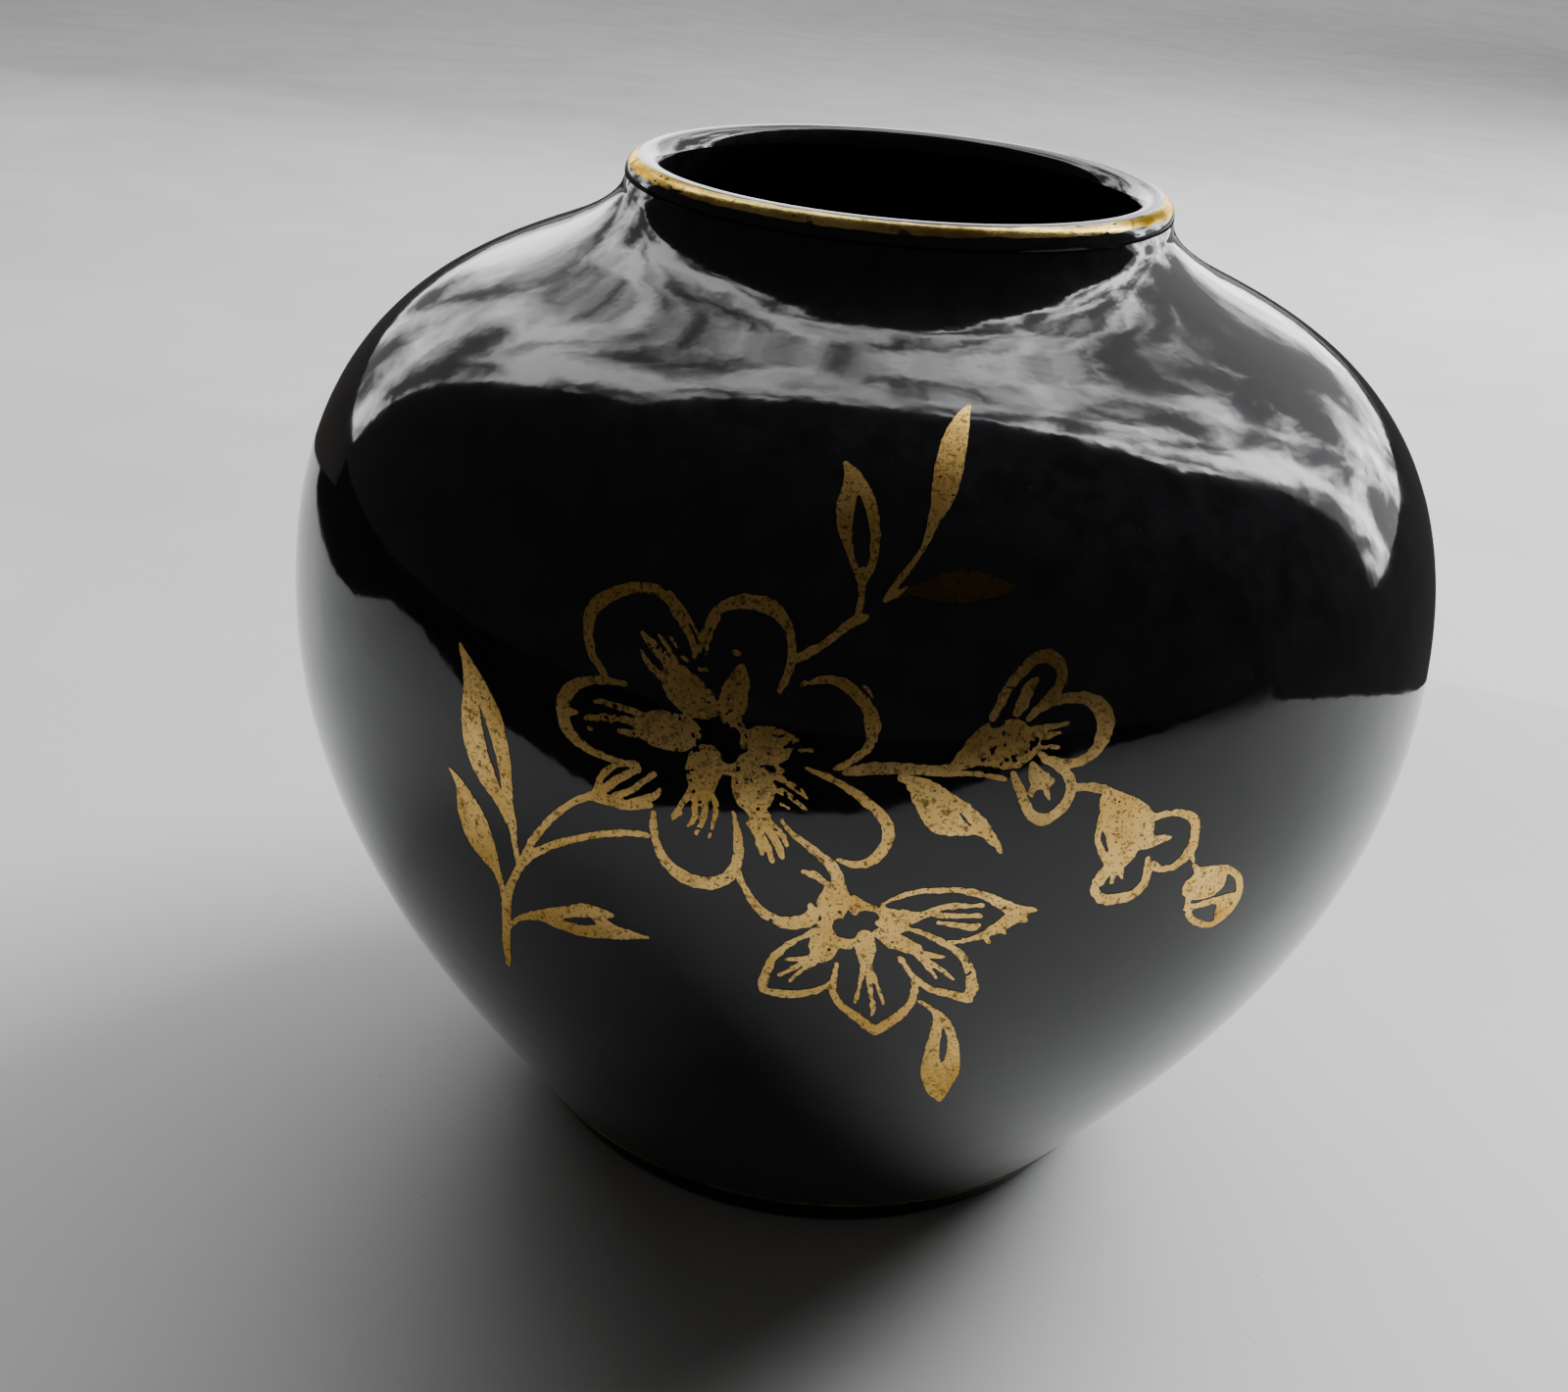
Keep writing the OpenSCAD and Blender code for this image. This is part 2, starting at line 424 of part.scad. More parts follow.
// Far right: the bud flower, with a loop to its right and a cup under it.
module bud_blossom() {
    transfer([
        [[19.3, 60.9, 0.7], [20.2, 60.2, 1.2], [21.6, 59.4, 1.5], [22.7, 58.3, 1.8], [23, 57.2, 1.5],
         [22.9, 56.5, 1.5]],
        [[19.5, 60.1, 1.2], [20.2, 59, 2.2], [21, 57.9, 2.8], [21.4, 56.9, 2.9], [21.5, 55.9, 2.4],
         [21.2, 55, 1.6]],
        [[19.5, 59, 1.1], [19.3, 58.2, 0.7], [19.15, 57.3, 0.5], [19.5, 56.3, 0.6], [20, 55.5, 0.7],
         [20.5, 54.9, 0.8]],
        [[22.6, 56.4, 1.4], [23.8, 56.3, 1.1], [24.6, 56.4, 0.7], [25.4, 56.4, 0.2]],
        // cup with three fingers
        [[20.3, 54.7, 0.5], [19.75, 54, 0.6], [19.6, 53.1, 0.65], [19.9, 52.3, 0.8], [20.8, 51.8, 1],
         [21.9, 51.75, 1.1], [22.9, 51.9, 1], [23.6, 52.6, 0.9], [23.8, 53.5, 0.8], [23.7, 54.3, 0.7],
         [23.6, 54.9, 0.5]],
        [[20.6, 54.6, 0.8], [20.3, 53.8, 0.6], [20.1, 53.2, 0.3]],
        [[21.1, 54.4, 0.7], [20.95, 53.7, 0.5], [20.9, 53.2, 0.3]],
        [[21.4, 54.5, 0.7], [21.6, 53.9, 0.5], [21.8, 53.4, 0.2]],
        // loop, and the short stem that leads on
        [[23.4, 58.3, 0.6], [24.6, 58.4, 0.6], [25.7, 58.35, 0.65], [26.7, 57.9, 0.8], [27.4, 57.2, 0.9],
         [27.5, 56.2, 0.9], [27.4, 55.2, 1.1], [26.9, 54.4, 1], [26, 53.8, 0.75], [25, 53.8, 0.65],
         [24.1, 54.3, 0.8]],
        [[27.5, 54.6, 0.5], [27.9, 53.8, 0.4]]
    ]);
}

// Far right: the round bud, a ring with two windows.
module round_bud() {
    transfer([
        [[27.9, 53.6, 0.4], [28.5, 53, 0.7], [29.6, 52.8, 0.8], [31, 52.6, 0.7], [32.2, 52, 0.7],
         [33.1, 51, 0.75], [33.5, 49.8, 0.85], [33.3, 48.6, 1], [32.5, 47.6, 0.9], [31.3, 47.2, 0.7],
         [30.1, 47.7, 0.7], [29, 48.5, 0.6], [28.4, 49.6, 0.6], [28.2, 50.8, 0.6], [28.3, 52, 0.7],
         [28.6, 53, 0.6]],
        [[28.4, 51.6, 2.2], [29.5, 51.5, 2.8], [30.4, 51.4, 2.5], [31, 51.1, 1.2]],
        [[28.2, 49.6, 0.6], [29.5, 49.6, 0.7], [30.8, 49.65, 0.8], [32, 49.5, 1], [33.4, 49.4, 1]],
        [[31.9, 49.2, 1.1], [32.3, 48.4, 1.8], [32.1, 47.8, 1.1]]
    ]);
}

// Bottom: the lower flower, its stem, the loop beside it and its five petals.
module lower_blossom() {
    transfer([
        // stem, curl and calyx
        [[-3.7, 57.9, 0.2], [-3, 57.1, 0.4], [-2, 56.4, 0.55], [-1, 55.7, 0.7], [0, 54.9, 0.9],
         [0.6, 54, 1], [0.8, 53.1, 1.2]],
        [[-1.8, 54, 0.3], [-1.1, 53.9, 0.6], [-0.4, 53.5, 0.6], [0.1, 53, 0.5]],
        [[0.6, 53, 1.3], [0.6, 52.2, 2.2], [0.5, 51.3, 2.2], [0.4, 50.5, 1.2]],
        [[1.2, 52.1, 1.5], [2, 51.8, 1.4], [2.9, 51.6, 0.9], [3.8, 51.4, 0.5]],
        [[1.2, 51, 0.9], [1.3, 50.5, 0.3]],
        [[2, 51.3, 0.7], [2.2, 50.8, 0.25]],
        // loop from the main flower's bottom petal
        [[-6.4, 53.2, 0.5], [-6, 52.2, 0.6], [-5.4, 51.2, 0.65], [-4.7, 50.3, 0.8], [-3.8, 49.7, 0.9],
         [-2.8, 49.4, 1.1], [-1.8, 49.6, 1.3], [-1, 50.1, 1.3], [-0.9, 50.8, 0.8], [-1.1, 51.4, 0.2]],
        // bodies round the ragged eye
        [[3.8, 51.5, 0.6], [4.6, 50.9, 1.5], [5.4, 50.7, 1.8], [6.2, 50.9, 1.3], [7, 51.1, 0.7]],
        [[3.9, 50.3, 0.6], [5, 49.7, 0.9], [6, 49.9, 0.4]],
        [[0.3, 50.3, 0.9], [0.15, 49.6, 1.2], [0.1, 48.9, 1.6], [0.2, 47.9, 2.2], [0.1, 47, 1.9],
         [-0.1, 46.6, 1.2]],
        [[1, 48.2, 1.2], [1.9, 48.1, 1], [2.8, 48.5, 0.9]],
        [[3, 49, 1.3], [3.2, 48, 1.7], [3.3, 47, 1.3], [3.4, 46.2, 0.9]],
        [[4, 49.4, 0.9], [4.8, 48.9, 1.4], [5.7, 48.5, 1.5], [6.6, 48.1, 1.2], [7.4, 47.6, 0.9],
         [8.4, 47.4, 0.5], [9.2, 47.3, 0.2]],
        // right petal, ragged below
        [[4, 51.9, 0.3], [4.9, 52.5, 0.45], [6, 53, 0.5], [7.4, 53.25, 0.55], [9, 53.35, 0.55],
         [10.5, 53.1, 0.65], [11.8, 52.6, 0.8], [13, 51.9, 1.1], [14, 51.4, 1.1], [15, 51.5, 0.5],
         [15.4, 51.4, 0.2]],
        [[14.2, 51.2, 1.3], [13.4, 50.6, 1.3], [12.5, 49.9, 1.1], [11.6, 49.3, 0.8], [10.4, 48.9, 0.5],
         [9.2, 48.7, 0.4]],
        [[14.3, 50.8, 0.8], [14.8, 50.4, 0.3]],
        [[12.9, 49.9, 0.8], [13.3, 49.4, 0.3]],
        [[11.9, 49.2, 0.6], [12.2, 48.6, 0.3]],
        [[7, 51.2, 0.3], [8.2, 51.8, 0.6], [9.6, 52, 0.5], [11.3, 52, 0.4]],
        [[6.8, 51.2, 0.4], [8, 51.15, 0.5], [9.5, 51.1, 0.5], [11.2, 51.1, 0.5]],
        [[8.2, 50.5, 0.3], [9.5, 50.3, 0.5], [10.8, 50.1, 0.7], [11.2, 50.3, 0.4]],
        // lower right petal
        [[5.8, 49.9, 0.3], [7, 49.6, 0.5], [8.2, 49, 0.55], [9.4, 48.3, 0.65], [10.3, 47.5, 0.7],
         [10.9, 46.6, 0.8], [11.3, 45.6, 0.9], [11.6, 44.6, 1], [11.7, 43.7, 1], [11.5, 42.9, 0.8]],
        [[5.7, 47.3, 0.3], [6.3, 46.4, 0.45], [7, 45.4, 0.55], [7.8, 44.6, 0.65], [8.8, 43.9, 0.75],
         [10, 43.6, 0.8], [11, 43.2, 0.9], [11.8, 42.8, 0.6]],
        [[7, 47.7, 0.7], [7.6, 47, 0.6], [8.6, 46.4, 0.5], [9.5, 45.6, 0.4], [10.2, 45, 0.2]],
        [[7.6, 46.8, 0.4], [8.2, 46, 0.3], [8.8, 45.2, 0.2]],
        // bottom petal, with three fingers
        [[1.25, 46.2, 0.35], [1.25, 45, 0.5], [1.2, 44, 0.55], [1.3, 43, 0.6], [1.9, 41.9, 0.75],
         [2.8, 41.1, 0.9], [3.8, 40.2, 1], [4.9, 39.2, 1.1]],
        [[4.9, 39.2, 1.1], [5.7, 40.1, 1.1], [6.5, 41.1, 1], [7.1, 42.2, 0.8], [7.3, 43.2, 0.6],
         [7.3, 44.2, 0.6], [7, 44.9, 0.3]],
        [[3.3, 46.4, 0.6], [3.2, 45, 0.4], [3.1, 43.6, 0.4], [3, 42.2, 0.3]],
        [[3.5, 46.4, 0.6], [3.8, 44.8, 0.5], [4.1, 43.2, 0.4], [4.4, 41.9, 0.5], [4.4, 41, 0.35]],
        [[3.7, 46.2, 0.4], [4.2, 44.9, 0.35], [4.7, 43.6, 0.3], [5.2, 42.2, 0.2]],
        // left petal, with three fingers
        [[-0.4, 49.2, 0.45], [-1.6, 48.2, 0.5], [-2.7, 47.1, 0.6], [-3.5, 45.8, 0.7], [-3.9, 44.4, 0.8],
         [-4.1, 43.1, 0.8], [-4, 42.5, 0.7]],
        [[-4.1, 42.4, 0.6], [-3, 42.4, 0.9], [-1.8, 42.5, 0.9], [-0.6, 42.9, 0.8], [0.4, 43.5, 0.6],
         [1, 44.2, 0.5], [1.1, 45, 0.3]],
        [[-0.2, 46.6, 0.7], [-1.2, 46.3, 0.5], [-2.6, 45.9, 0.3]],
        [[-0.6, 46.4, 0.5], [-1.5, 45.6, 0.4], [-2.2, 44.9, 0.4], [-2.9, 44.3, 0.3]],
        [[-0.4, 46, 0.6], [-1.1, 45.3, 0.4], [-1.7, 44.5, 0.3], [-2.1, 43.8, 0.25]]
    ]);
}

// Bottom: the leaf that hangs below the lower flower, in two halves.
module hanging_leaf() {
    transfer([
        [[7.8, 42.8, 0.35], [8.6, 42.2, 0.4], [9.2, 41.6, 0.6], [9.6, 40.6, 0.8], [9.7, 39.2, 1],
         [9.75, 37.7, 1.2], [9.9, 36.2, 1.4], [10.2, 34.8, 1.9], [10.7, 33.4, 2.3], [11.2, 32, 2.2],
         [11.6, 30.8, 1.6], [12.1, 29.5, 0.3]],
        [[9.2, 41.7, 0.5], [9.9, 41, 0.7], [10.6, 39.8, 0.85], [11.1, 38.6, 0.9], [11.5, 37.2, 1.1],
         [11.7, 35.8, 1.4], [11.8, 34.4, 1.8], [11.8, 33, 1.9], [11.8, 31.6, 1.5], [12, 30.3, 0.9],
         [12.15, 29.5, 0.3]]
    ]);
}

porcelain_body();
outer_glaze();
inner_glaze();
base_glaze();
rim_gilding();
foot_gilding();
leaf_spray();
main_blossom();
main_blossom_heart();
upper_leaves();
side_blossom();
side_blossom_calyx();
drooping_leaf();
bud_blossom();
round_bud();
lower_blossom();
hanging_leaf();
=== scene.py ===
import math

import bmesh
import bpy
import numpy as np
from mathutils import Matrix, Vector


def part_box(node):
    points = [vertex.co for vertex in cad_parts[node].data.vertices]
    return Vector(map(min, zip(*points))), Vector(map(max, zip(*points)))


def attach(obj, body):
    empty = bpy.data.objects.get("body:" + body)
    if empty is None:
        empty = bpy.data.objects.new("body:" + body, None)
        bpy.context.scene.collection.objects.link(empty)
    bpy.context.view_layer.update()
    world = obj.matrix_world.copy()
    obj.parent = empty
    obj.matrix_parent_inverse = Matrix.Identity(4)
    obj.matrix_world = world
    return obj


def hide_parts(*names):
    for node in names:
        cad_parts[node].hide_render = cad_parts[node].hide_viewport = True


# A small black-glazed porcelain vase: a turned body under its glaze, a gilded lip, a gilded foot line and a
# gold flower transfer. Shapes are worked out in millimetres from the CAD nodes, and made in metres.

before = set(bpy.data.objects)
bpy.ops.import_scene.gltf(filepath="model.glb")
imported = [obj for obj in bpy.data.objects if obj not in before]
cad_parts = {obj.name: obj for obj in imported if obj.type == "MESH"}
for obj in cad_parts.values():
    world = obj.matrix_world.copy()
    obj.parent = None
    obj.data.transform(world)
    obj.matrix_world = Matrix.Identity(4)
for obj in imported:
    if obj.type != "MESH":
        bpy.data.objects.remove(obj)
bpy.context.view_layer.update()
MM = 0.001
SEGMENTS = 256                # steps round every turned piece
BAND_COLUMNS = 720            # steps round a band of gilding
CELL = 0.11                   # size of a chart cell of the transfer, millimetres
EDGE_COVER = 0.46             # share of a cell that has to be covered for its gold to show
HOLE_LEVEL = 2.6              # noise, in its own spreads, above which gold is missing if pinholes is 0
HOLES_PER_PINHOLE = 1.5       # how far the level falls for each unit of pinholes
PATCH_PULL = 0.9              # how far a rubbed patch pulls the level down for each unit of worn
FLECK_CELLS = 5               # fewest cells that a fleck of gold keeps
TRANSFER_NODES = {            # node: (ragged edge, pinholes, worn patches), each from 0 up
    "leaf_spray": (0.09, 0.0, 0.10),
    "main_blossom": (0.13, 0.25, 0.20),
    "main_blossom_heart": (0.14, 0.90, 0.60),
    "upper_leaves": (0.10, 0.35, 0.15),
    "side_blossom": (0.13, 0.30, 0.30),
    "side_blossom_calyx": (0.15, 1.10, 0.60),
    "drooping_leaf": (0.18, 0.60, 0.55),
    "bud_blossom": (0.14, 0.35, 0.30),
    "round_bud": (0.10, 0.15, 0.10),
    "lower_blossom": (0.14, 0.40, 0.30),
    "hanging_leaf": (0.08, 0.10, 0.05),
}


# ---- The turned lines, read from the CAD nodes ----

def node_vertices(node):
    """The node's vertices in millimetres."""
    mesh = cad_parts[node].data
    co = np.zeros(len(mesh.vertices) * 3)
    mesh.vertices.foreach_get("co", co)
    return co.reshape(-1, 3) / MM


def turned_points(node):
    """The distinct (radius, height) pairs of a turned node."""
    co = node_vertices(node)
    pairs = np.stack([np.hypot(co[:, 0], co[:, 1]), co[:, 2]], 1)
    return np.unique(np.round(pairs, 2), axis=0)


def split_shared(points, others, near=0.03):
    """The points that lie on none of the others, and those that do."""
    gap = np.linalg.norm(points[:, None] - others[None], axis=2).min(1)
    return points[gap > near], points[gap <= near]


def over_lip(points, lip_r):
    """Points in order from the foot up the outside, over the lip and down the inside of the throat."""
    outside = points[points[:, 0] >= lip_r]
    inside = points[points[:, 0] < lip_r]
    return np.concatenate([outside[np.lexsort((outside[:, 0], outside[:, 1]))],
                           inside[np.argsort(-inside[:, 1])]])


def down_inside(points):
    """Points in order from the throat down the inside and across the floor."""
    return points[np.lexsort((-points[:, 0], -points[:, 1]))]


def smooth_run(run, steps):
    """A cubic curve through a run of points, with that many steps to each stretch."""
    gap = np.linalg.norm(np.diff(run, axis=0), axis=1)[:, None]
    slope = np.diff(run, axis=0) / gap
    tangent = np.empty_like(run)
    tangent[1:-1] = (slope[:-1] * gap[1:] + slope[1:] * gap[:-1]) / (gap[:-1] + gap[1:])
    tangent[0] = 1.5 * slope[0] - 0.5 * tangent[1] if len(run) > 2 else slope[0]
    tangent[-1] = 1.5 * slope[-1] - 0.5 * tangent[-2] if len(run) > 2 else slope[0]
    out = []
    for i in range(len(run) - 1):
        for k in range(steps):
            t = k / steps
            out.append((2 * t**3 - 3 * t**2 + 1) * run[i] + (t**3 - 2 * t**2 + t) * gap[i] * tangent[i]
                       + (3 * t**2 - 2 * t**3) * run[i + 1] + (t**3 - t**2) * gap[i] * tangent[i + 1])
    return out


def smooth_line(points, steps, corner=32):
    """A smooth curve through the points that stays sharp where they turn by more than corner degrees."""
    way = np.diff(points, axis=0)
    way = way / np.linalg.norm(way, axis=1)[:, None]
    turn = np.degrees(np.arccos(np.clip((way[:-1] * way[1:]).sum(1), -1, 1)))
    cuts = [0] + [i + 1 for i in range(len(turn)) if turn[i] > corner] + [len(points) - 1]
    out = []
    for a, b in zip(cuts[:-1], cuts[1:]):
        out += smooth_run(points[a:b + 1], steps)
    return np.array(out + [points[-1]])


def normals_of(line):
    """Unit normals of a line, on its right-hand side: outwards for a line that climbs the outside."""
    along = np.gradient(line, axis=0)
    return np.stack([along[:, 1], -along[:, 0]], 1) / np.linalg.norm(along, axis=1)[:, None]


body_points = turned_points("porcelain_body")
outer_free, outer_back = split_shared(turned_points("outer_glaze"), body_points)
inner_free, inner_back = split_shared(turned_points("inner_glaze"), body_points)
LIP_TOP = outer_free[np.argmax(outer_free[:, 1])]
BELLY_R = outer_free[:, 0].max()
outer_rough = over_lip(outer_free, LIP_TOP[0] - 0.01)
outer_line = smooth_line(outer_rough, 3)
inner_line = smooth_line(down_inside(inner_free), 3)
arc = np.concatenate([[0], np.cumsum(np.linalg.norm(np.diff(outer_line, axis=0), axis=1))])
outer_normal = normals_of(outer_line)
TOP_ROW = int(np.argmax(outer_line[:, 1]))


# ---- Mesh building ----

def make_object(name, vertices, faces, material, sharp=40):
    """A mesh object from vertices in millimetres."""
    mesh = bpy.data.meshes.new(name)
    mesh.from_pydata((np.asarray(vertices) * MM).tolist(), [], faces)
    work = bmesh.new()
    work.from_mesh(mesh)
    bmesh.ops.remove_doubles(work, verts=work.verts, dist=1e-7)
    bmesh.ops.recalc_face_normals(work, faces=work.faces)
    work.to_mesh(mesh)
    work.free()
    mesh.shade_smooth()
    mesh.set_sharp_from_angle(angle=math.radians(sharp))
    mesh.materials.append(material)
    piece = bpy.data.objects.new(name, mesh)
    bpy.context.scene.collection.objects.link(piece)
    return piece


def lathe(name, outline, material, closed=True):
    """A turned piece from its outline, joined up when closed."""
    rows = len(outline)
    angle = np.arange(SEGMENTS) * 2 * math.pi / SEGMENTS
    r = np.repeat(outline[:, 0][:, None], SEGMENTS, 1)
    z = np.repeat(outline[:, 1][:, None], SEGMENTS, 1)
    vertices = np.stack([r * np.sin(angle), -r * np.cos(angle), z], 2).reshape(-1, 3)
    faces = []
    for i in range(rows if closed else rows - 1):
        j = (i + 1) % rows
        for k in range(SEGMENTS):
            m = (k + 1) % SEGMENTS
            faces.append((i * SEGMENTS + k, i * SEGMENTS + m, j * SEGMENTS + m, j * SEGMENTS + k))
    return make_object(name, vertices, faces, material)


def on_glaze(across, up, lift):
    """Places chart points on the outer glaze: across and up in millimetres over it, lift off it."""
    r = np.interp(up, arc, outer_line[:, 0]) + lift * np.interp(up, arc, outer_normal[:, 0])
    z = np.interp(up, arc, outer_line[:, 1]) + lift * np.interp(up, arc, outer_normal[:, 1])
    angle = across / BELLY_R
    return np.stack([r * np.sin(angle), -r * np.cos(angle), z], -1)


def without_crumbs(inside, least):
    """A mask of cells without its islands of fewer than least cells."""
    left = set(zip(*np.nonzero(inside)))
    kept = np.zeros_like(inside)
    while left:
        island, edge = [], [left.pop()]
        while edge:
            i, j = edge.pop()
            island.append((i, j))
            for n in ((i + 1, j), (i - 1, j), (i, j + 1), (i, j - 1)):
                if n in left:
                    left.remove(n)
                    edge.append(n)
        if len(island) >= least:
            kept[tuple(np.array(island).T)] = True
    return kept


def film(name, field, across, up, material, base=0.006, top=0.04, ring=False):
    """A thin closed film on the outer glaze, over the cells of a chart where the field is positive.

    Its edge is cut through the cells where the field passes zero. A ring joins up round the vase.
    """
    columns, rows = field.shape
    kept = without_crumbs(field > 0, FLECK_CELLS)
    field = np.where((field > 0) & ~kept, -0.02, field)
    ids, points, faces, walls = {}, [], [], []

    def corner(i, j):
        key = (i % columns if ring else i, j)
        if key not in ids:
            ids[key] = len(points)
            points.append((across[key[0]], up[j]))
        return ids[key]

    def crossing(a, b):
        key = tuple(sorted((((a[0] % columns if ring else a[0]), a[1]),
                            ((b[0] % columns if ring else b[0]), b[1]))))
        if key not in ids:
            fa, fb = field[a[0] % columns, a[1]], field[b[0] % columns, b[1]]
            t = min(max(fa / (fa - fb), 0.08), 0.92)
            step = across[1] - across[0]
            xa = across[0] + a[0] * step
            xb = across[0] + b[0] * step
            ids[key] = len(points)
            points.append((xa + t * (xb - xa), up[a[1]] + t * (up[b[1]] - up[a[1]])))
        return ids[key]

    positive = field > 0
    right = np.roll(positive, -1, 0)
    above = np.roll(positive, -1, 1)
    beyond = np.roll(right, -1, 1)
    touched = positive | right | above | beyond
    touched[:, -1] = False
    if not ring:
        touched[-1] = False
    for i, j in zip(*np.nonzero(touched)):
        around = [(i, j), (i + 1, j), (i + 1, j + 1), (i, j + 1)]
        inside = [positive[a % columns, b] for a, b in around]
        face, cut = [], []
        for k in range(4):
            here, there = around[k], around[(k + 1) % 4]
            if inside[k]:
                face.append(corner(*here))
                cut.append(False)
            if inside[k] != inside[(k + 1) % 4]:
                face.append(crossing(here, there))
                cut.append(True)
        faces.append(face)
        for k in range(len(face)):
            if cut[k] and cut[(k + 1) % len(face)]:
                walls.append((face[k], face[(k + 1) % len(face)]))
    flat = np.array(points)
    count = len(flat)
    vertices = np.concatenate([on_glaze(flat[:, 0], flat[:, 1], top), on_glaze(flat[:, 0], flat[:, 1], base)])
    solid = list(faces)
    solid += [[v + count for v in reversed(f)] for f in faces]
    solid += [[b, a, a + count, b + count] for a, b in walls]
    return make_object(name, vertices, solid, material, sharp=50)


# ---- Noise and charts for the gilding ----

def blurred(grid, cells, ring=False):
    """A grid softened by a bell curve of that many cells."""
    reach = max(1, int(3 * cells))
    bell = np.exp(-0.5 * (np.arange(-reach, reach + 1) / cells) ** 2)
    bell /= bell.sum()
    for axis in (0, 1):
        mode = "wrap" if ring and axis == 0 else "edge"
        pad = [(reach, reach) if a == axis else (0, 0) for a in (0, 1)]
        wide = np.pad(grid, pad, mode=mode)
        grid = np.apply_along_axis(lambda line: np.convolve(line, bell, "valid"), axis, wide)
    return grid


def speckle(rng, shape, cells, ring=False):
    """Soft random noise of unit strength, with blots of about that many cells."""
    grid = blurred(rng.standard_normal(shape), cells, ring)
    return grid / grid.std()


def coverage(node, across, up, step):
    """How much of each chart cell the node's outward faces cover, from 0 to 1."""
    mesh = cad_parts[node].data
    mesh.calc_loop_triangles()
    co = node_vertices(node)
    corners = np.array([t.vertices[:] for t in mesh.loop_triangles])
    tri = co[corners]
    normal = np.cross(tri[:, 1] - tri[:, 0], tri[:, 2] - tri[:, 0])
    normal /= np.linalg.norm(normal, axis=1)[:, None] + 1e-12
    middle = tri.mean(1)
    row = np.searchsorted(outer_line[:TOP_ROW, 1], middle[:, 2])
    reach = np.hypot(middle[:, 0], middle[:, 1])[:, None]
    out = np.concatenate([middle[:, :2] / reach * outer_normal[row, :1], outer_normal[row, 1:]], 1)
    facing = tri[(normal * out).sum(1) > 0.7]
    flat = np.stack([np.arctan2(facing[..., 0], -facing[..., 1]) * BELLY_R,
                     np.interp(facing[..., 2], outer_line[:TOP_ROW, 1], arc[:TOP_ROW])], -1)
    fine = step / 2
    grid = np.zeros((len(across) * 2, len(up) * 2))
    start = np.array([across[0], up[0]]) - fine / 2
    cells = (flat - start) / fine
    for a, b, c in cells:
        low = np.maximum(np.floor(np.minimum(np.minimum(a, b), c)).astype(int), 0)
        high = np.ceil(np.maximum(np.maximum(a, b), c)).astype(int) + 1
        x, y = np.meshgrid(np.arange(low[0], high[0]), np.arange(low[1], high[1]), indexing="ij")
        side = [(q[0] - p[0]) * (y - p[1]) - (q[1] - p[1]) * (x - p[0]) for p, q in ((a, b), (b, c), (c, a))]
        hit = (np.minimum.reduce(side) >= 0) | (np.maximum.reduce(side) <= 0)
        block = grid[low[0]:high[0], low[1]:high[1]]
        block[hit[:block.shape[0], :block.shape[1]]] = 1
    return grid.reshape(len(across), 2, len(up), 2).mean((1, 3))


def missing_gold(spots, patches, pinholes, worn):
    """How much the pinholes and the rubbed patches take off the gold, from two noises."""
    return np.clip(spots + PATCH_PULL * worn * patches - HOLE_LEVEL + HOLES_PER_PINHOLE * pinholes, 0, None)


def transfer_piece(node, seed, ragged, pinholes, worn, material):
    """One motif of the transfer, with the ragged edges, pinholes and worn patches of a rubbed print."""
    co = node_vertices(node)
    x = np.arctan2(co[:, 0], -co[:, 1]) * BELLY_R
    s = np.interp(co[:, 2], outer_line[:TOP_ROW, 1], arc[:TOP_ROW])
    across = np.arange(x.min() - 6 * CELL, x.max() + 6 * CELL, CELL)
    up = np.arange(s.min() - 6 * CELL, s.max() + 6 * CELL, CELL)
    cover = coverage(node, across, up, CELL)
    soft = blurred(cover, 0.9)
    rng = np.random.default_rng(seed)
    edge = speckle(rng, soft.shape, 1.3)
    holes = speckle(rng, soft.shape, 1.0)
    patches = speckle(rng, soft.shape, 7.0)
    field = soft - EDGE_COVER + 0.8 * ragged * edge
    broad = np.clip((soft - 0.75) / 0.2, 0, 1)      # 0 in a fine stroke, 1 in the middle of a broad one
    field -= missing_gold(holes, patches, pinholes, worn) * 1.3 * (0.3 + 0.7 * broad)
    field[[0, -1], :] = -1
    field[:, [0, -1]] = -1
    return film(node + "_gold", np.minimum(field, soft * 4 - 0.4), across, up, material)


def band_piece(name, node, seed, step, wave, pinholes, worn, trim, material):
    """A band of gilding round the vase, over the reach of its CAD node, with hand-brushed edges.

    The upper edge stops trim millimetres short of the node's.
    """
    fine = np.arange(0, arc[-1], 0.02)
    way = np.stack([np.interp(fine, arc, outer_line[:, 0]), np.interp(fine, arc, outer_line[:, 1])], 1)
    reach = [fine[np.linalg.norm(way - point, axis=1).argmin()] for point in turned_points(node)]
    across = (np.arange(BAND_COLUMNS) - BAND_COLUMNS // 2) * 2 * math.pi * BELLY_R / BAND_COLUMNS
    up = np.arange(min(reach) - 8 * step, max(reach) + 8 * step, step)
    rng = np.random.default_rng(seed)
    row = (BAND_COLUMNS, 1)
    below, above = (wave * (speckle(rng, row, 16, True) + 0.6 * speckle(rng, row, 2.2, True))
                    for _ in range(2))
    depth = np.minimum(up - min(reach) - below, max(reach) - trim + above - up)
    field = np.clip(depth / step, -1, 1) * 0.5
    spots = speckle(rng, field.shape, 1.1, True)
    patches = speckle(rng, field.shape, 8, True)
    field -= missing_gold(spots, patches, pinholes, worn)
    field[:, [0, -1]] = -1
    return film(name, field, across, up, material, ring=True)


# ---- Materials ----

